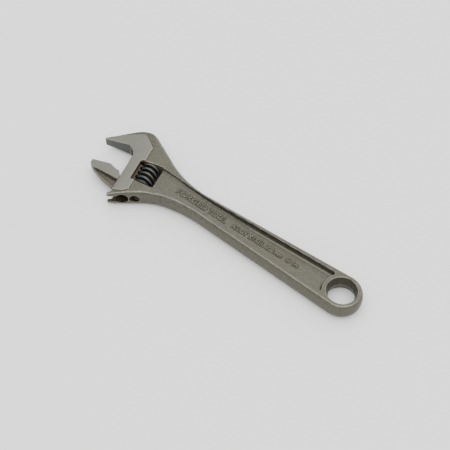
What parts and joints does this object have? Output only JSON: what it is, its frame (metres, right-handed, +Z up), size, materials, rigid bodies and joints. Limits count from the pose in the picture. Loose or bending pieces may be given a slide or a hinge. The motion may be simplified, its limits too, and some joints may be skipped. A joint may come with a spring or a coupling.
{
  "type": "adjustable wrench",
  "caption": "Adjustable wrench with an angled head: a worm in the head's window slides the lower jaw along it, and the channelled handle ends in a hanging hole.",
  "frame": {"origin": "centre of the bounding box's underside, as the wrench lies flat with the jaws as drawn", "axes": "+X from the head to the hanging hole along the handle, +Y towards the fixed jaw's side, +Z up from the surface it lies on"},
  "size_m": [0.2086, 0.0588, 0.0136],
  "materials": {
    "forged_body": "drop-forged steel with a dull satin plating; the head's flats are ground lighter and smoother",
    "forged_jaw": "the same dull satin plating, ground flats on both sides",
    "worm": "blackened steel, slightly oily, worn brighter on the thread's crests",
    "pin": "blackened steel",
    "spring": "plain spring wire"
  },
  "bodies": {
    "body": {"wrench_body": "forged_body", "worm_pin": "pin", "worm_spring": "spring"},
    "jaw": {"movable_jaw": "forged_jaw"},
    "worm": {"adjusting_worm": "worm"}
  },
  "joints": [
    {"name": "jaw_slide", "type": "slide", "parent": "body", "child": "jaw", "axis": [-0.2588, 0.9659, 0], "range_m": [-0.008, 0.0189]},
    {"name": "worm_spin", "type": "hinge", "parent": "body", "child": "worm", "pos_m": [-0.06274, 0.0054, 0.0068], "axis": [-0.2588, 0.9659, 0], "range_deg": [-768, 1814.4]}
  ],
  "couplings": [
    {"joint": "jaw_slide", "follows": "worm_spin", "m_per_rad": 0.00059683}
  ]
}
